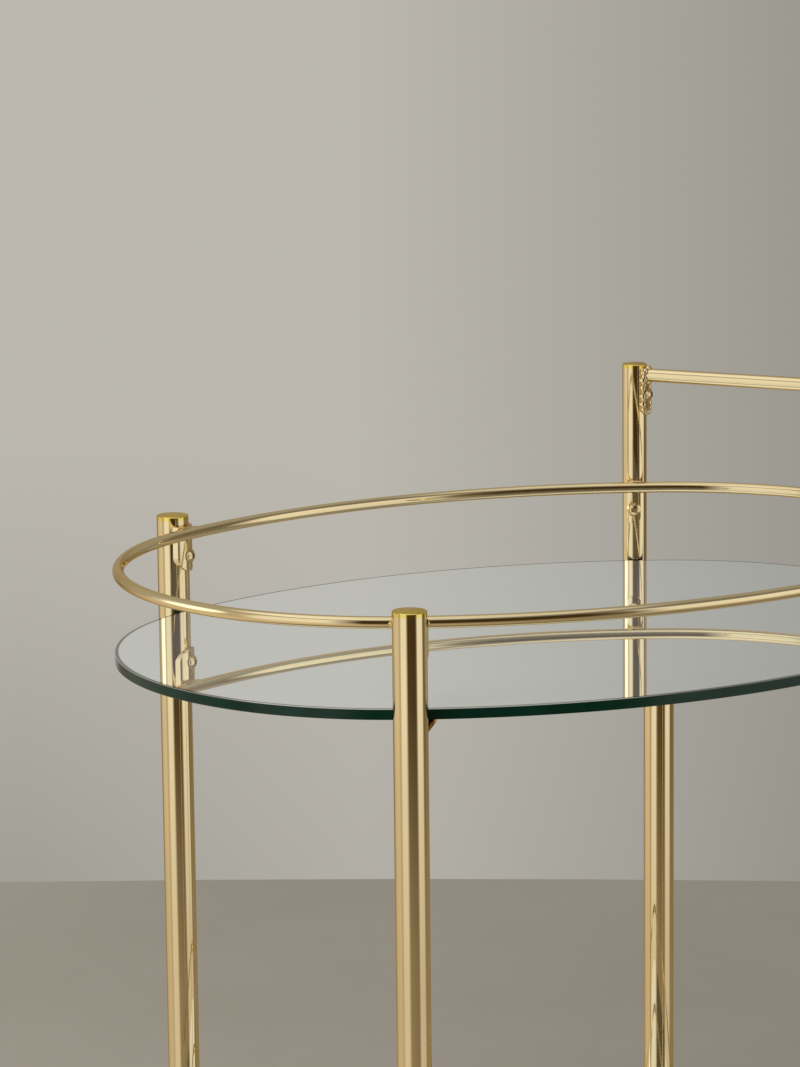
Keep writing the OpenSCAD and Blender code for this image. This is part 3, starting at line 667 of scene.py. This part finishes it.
def spoke_collars(side):
    """Tapered collars at both ends of the spokes, and two turned rings on the hub."""
    body = side + "_large_wheel"
    centre = centre_of(side + "_tyre")
    low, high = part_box(side + "_tyre")
    rim_inner = (high[2] - low[2]) / 2 - TYRE_H - WHEEL_RIM_T
    shells = []
    for i in range(SPOKES):
        t = 2 * math.pi * i / SPOKES
        axis = Vector((math.cos(t), 0, -math.sin(t)))
        for foot, sign, r0 in ((HUB_R - COLLAR_SUNK, 1, COLLAR_R_HUB),
                               (rim_inner + COLLAR_SUNK, -1, COLLAR_R_RIM)):
            profile = [(SPOKE_R * 0.9, 0), (r0, 0), (r0 * 0.93, sign * COLLAR_L * 0.36),
                       (SPOKE_R + 0.0005, sign * COLLAR_L), (SPOKE_R * 0.9, sign * COLLAR_L * 1.12)]
            if sign < 0:
                profile = profile[::-1]
            shells.append(lathe(centre + axis * foot, axis, profile, 24))
    for y in (-1, 1):
        ring_at = centre + Vector((0, y * HUB_RING_AT, 0))
        inner = HUB_R - HUB_RING_SUNK
        profile = arc(HUB_R - 0.0002, 0, HUB_RING_R, -90, 90, 8)
        profile += [(inner, HUB_RING_R), (inner, -HUB_RING_R)]
        shells.append(lathe(ring_at, Vector((0, 1, 0)), profile, 72))
    piece(side + "_wheel_collars", *joined(shells), body, "wheel_gold", 35.0)


def add_wheels():
    """Tyres and spoke collars of the two large wheels, and the casters' tyres."""
    for side in ("front", "back"):
        tyre(side + "_tyre", side + "_large_wheel", TYRE_H, 3)
        tyre(side + "_caster_tyre", side + "_caster_roller", CASTER_TYRE_H, 1)
        spoke_collars(side)


# ---- Studio ----

# What stands round the trolley, by degrees from the camera's side, positive to the picture's right
LOW_STOPS = (
    (-180, WALL), (180, WALL), (-164, WALL), (-156, DIM), (-146, DIM), (-134, scaled(MID, 0.8)),
    (-122, scaled(MID, 1.1)), (-84, scaled(MID, 1.15)), (-72, scaled(MID, 0.78)),
    (-66, scaled(MID, 0.85)), (-58, BRIGHT), (-28, BRIGHT), (-14, DARK), (34, DARK),
    (42, scaled(DIM, 0.6)), (50, BRIGHT), (84, scaled(BRIGHT, 0.95)), (94, scaled(DIM, 0.5)),
    (124, scaled(DIM, 0.6)), (138, DIM), (156, DIM), (164, WALL))
MIDDLE_STOPS = (
    (-180, FAR), (180, FAR), (-120, FAR), (-106, scaled(BRIGHT, 0.85)), (-84, scaled(BRIGHT, 0.85)),
    (-76, scaled(MID, 0.85)), (-66, scaled(MID, 0.9)), (-58, BRIGHT), (-30, BRIGHT), (-16, DARK),
    (34, DARK), (42, scaled(DIM, 0.6)), (50, scaled(BRIGHT, 0.92)), (84, BRIGHT),
    (92, scaled(DIM, 0.5)), (114, scaled(DIM, 0.7)), (130, scaled(FAR, 0.8)))
HIGH_STOPS = (
    (-180, FAR), (180, FAR), (-50, scaled(FAR, 0.95)), (-15, scaled(FAR, 0.6)),
    (30, scaled(FAR, 0.5)), (60, scaled(FAR, 0.6)), (96, scaled(FAR, 0.45)), (130, scaled(FAR, 0.8)))

# Floor colours, darker and lighter
FLOOR_COLOURS = ((0.37, 0.345, 0.295), (0.42, 0.395, 0.345))
# Name, place, size and power of each light
LIGHTS = (("key", (-2.2, -1.2, 3.0), 1.8, 45.0), ("fill", (2.4, -1.8, 2.2), 2.2, 20.0))


class Surroundings:
    """Node values that say where in the studio a ray of the world shader goes."""

    def __init__(self, shader):
        self.s = shader
        self.direction = shader.node("ShaderNodeTexCoord").outputs["Generated"]
        az = math.radians(CAMERA_AZ_DEG)
        self.right = Vector((math.cos(az), -math.sin(az), 0))
        self.back = Vector((-math.sin(az), -math.cos(az), 0))
        self.to_right = shader.vector("DOT_PRODUCT", self.direction, self.right, "Value")
        self.to_camera = shader.vector("DOT_PRODUCT", self.direction, self.back, "Value")
        self.height = shader.split(self.direction)[2]
        turn = shader.math("ARCTAN2", self.to_right, self.to_camera)
        self.around = shader.remap(turn, -math.pi, math.pi)

    def panels(self, stops):
        """Colour round the trolley from stops of degrees and colours."""
        return self.s.ramp(self.around, [(0.5 + deg / 360.0, colour) for deg, colour in stops])

    def spot(self, around_deg, up_deg, fade_deg):
        """1 within a cone of directions, fading to 0 between two angles from its axis."""
        turn, rise = math.radians(around_deg), math.radians(up_deg)
        level = self.back * math.cos(turn) + self.right * math.sin(turn)
        axis = level * math.cos(rise) + Vector((0, 0, math.sin(rise)))
        return self.s.remap(self.s.vector("DOT_PRODUCT", self.direction, axis, "Value"),
                            *(math.cos(math.radians(deg)) for deg in fade_deg))


def reflected_room(s, at):
    """Panels and flags round the trolley, a window, the ceiling's light and the floor, for reflections."""
    walls = s.mix(s.remap(at.height, -0.17, -0.08), at.panels(LOW_STOPS), at.panels(MIDDLE_STOPS))
    rise = s.math("SUBTRACT", at.height, s.math("MULTIPLY", at.to_camera, 0.11))
    walls = s.mix(s.remap(rise, 0.50, 0.60), walls, at.panels(HIGH_STOPS))
    window = at.spot(WINDOW_AROUND_DEG, WINDOW_UP_DEG, WINDOW_FADE_DEG)
    walls = s.mix(window, walls, scaled(BRIGHT, WINDOW_LIGHT))
    ceiling = at.spot(CEILING_AROUND_DEG, 90.0 - CEILING_LEAN_DEG, CEILING_FADE_DEG)
    light = s.mix(s.remap(at.to_right, -0.45, 0.25), scaled(BRIGHT, 1.12), scaled(BRIGHT, 0.76))
    top = s.mix(ceiling, walls, light)
    floor = s.mix(s.remap(at.to_right, -0.6, 0.6), scaled(FLOOR_TONE, 1.5), scaled(FLOOR_TONE, 0.6))
    floor = s.mix(s.remap(at.height, -0.80, -0.90), floor, scaled(FLOOR_TONE, 0.5))
    far_floor = s.math("MULTIPLY", s.remap(at.height, -0.225, -0.285),
                       s.remap(at.height, -0.45, -0.38, 0.0, 0.42))
    hazed = s.mix(far_floor, top, FLOOR_TONE)
    return s.mix(s.remap(at.height, -0.20, -0.62), hazed, floor)


def backdrop(s, at):
    """The wall's colour, with painted shade: darker to the picture's right, towards the floor and in the
    lower left.
    """
    # Painted shade on the wall: darker to the picture's right and in the lower left corner
    fade = s.remap(at.to_right, -0.01, 0.09, 1.0, WALL_RIGHT_SHADE)
    corner = s.math("MULTIPLY", s.remap(at.height, -0.165, -0.26),
                    s.remap(at.to_right, 0.01, -0.085, 0.0, 0.22))
    fade = s.math("MULTIPLY", fade, s.math("SUBTRACT", 1.0, corner))
    # Painted shade: the wall darker towards the floor
    tone = s.mix(s.remap(at.height, -0.27, -0.20), scaled(WALL, 0.855), scaled(WALL, 0.92))
    return s.mix(1.0, tone, fade, "MULTIPLY")


def add_world():
    """The plain wall as the camera sees it, and the room that metal and mirrors reflect."""
    world = bpy.data.worlds.new("studio")
    bpy.context.scene.world = world
    world.use_nodes = True
    s = Shader("studio", world.node_tree)
    at = Surroundings(s)
    room, wall = reflected_room(s, at), backdrop(s, at)
    mirrored = s.mix(1.0, wall, WALL_IN_MIRROR, "MULTIPLY")
    behind = s.math("MULTIPLY", s.remap(at.to_camera, -0.90, -0.96), s.remap(at.height, 0.5, 0.4))
    room = s.mix(behind, room, mirrored)
    camera_ray = s.node("ShaderNodeLightPath").outputs["Is Camera Ray"]
    s.put(world.node_tree.nodes["Background"].inputs["Color"], s.mix(camera_ray, room, wall))


def add_floor():
    """Pale floor whose far edge lies level across the photograph's view, with painted light that falls off
    from the camera's left to its right.
    """
    right, _, forward = camera_axes()
    ahead = Vector((forward.x, forward.y, 0)).normalized()
    outward = Matrix.Rotation(-math.radians(FLOOR_TURN_DEG), 3, "Z") @ ahead
    rim = ring(ahead * FLOOR_BEYOND - outward * FLOOR_R, Vector((1, 0, 0)), Vector((0, 1, 0)), FLOOR_R, 256)
    mesh = bpy.data.meshes.new("floor")
    mesh.from_pydata(rim, [], [tuple(range(len(rim)))])
    floor = bpy.data.objects.new("floor", mesh)
    bpy.context.scene.collection.objects.link(floor)
    s = Shader("floor")
    colour = s.mix(s.remap(s.noise(1.6, 5.0, 0.6), 0.3, 0.7), *FLOOR_COLOURS)
    # Painted light and shade: the floor lighter on the camera's left and darker on its right
    across = s.vector("DOT_PRODUCT", s.place(), right, "Value")
    light = s.remap(across, -FLOOR_LIGHT_FALLOFF_AT, FLOOR_LIGHT_FALLOFF_AT, *FLOOR_LIGHT_FALLOFF)
    s.set(Base_Color=s.mix(1.0, colour, light, "MULTIPLY"), Roughness=0.7)
    mesh.materials.append(s.material)
    floor.visible_glossy = False


def add_light(name, at, size, power):
    """Soft square light aimed at the trolley, which neither the camera nor the metal sees."""
    data = bpy.data.lights.new(name, "AREA")
    data.size = size
    data.energy = power
    lamp = bpy.data.objects.new(name, data)
    bpy.context.scene.collection.objects.link(lamp)
    lamp.location = at
    lamp.rotation_mode = "QUATERNION"
    lamp.rotation_quaternion = (Vector((0, 0, 0.4)) - Vector(at)).to_track_quat("-Z", "Y")
    lamp.visible_glossy = False
    lamp.visible_camera = False


add_camera()
add_world()
add_floor()
for light in LIGHTS:
    add_light(*light)
dress_nodes()
rail("top_rail")
rail("lower_rail")
handle()
add_welds()
add_wheels()

bpy.context.scene.view_settings.view_transform = "Standard"
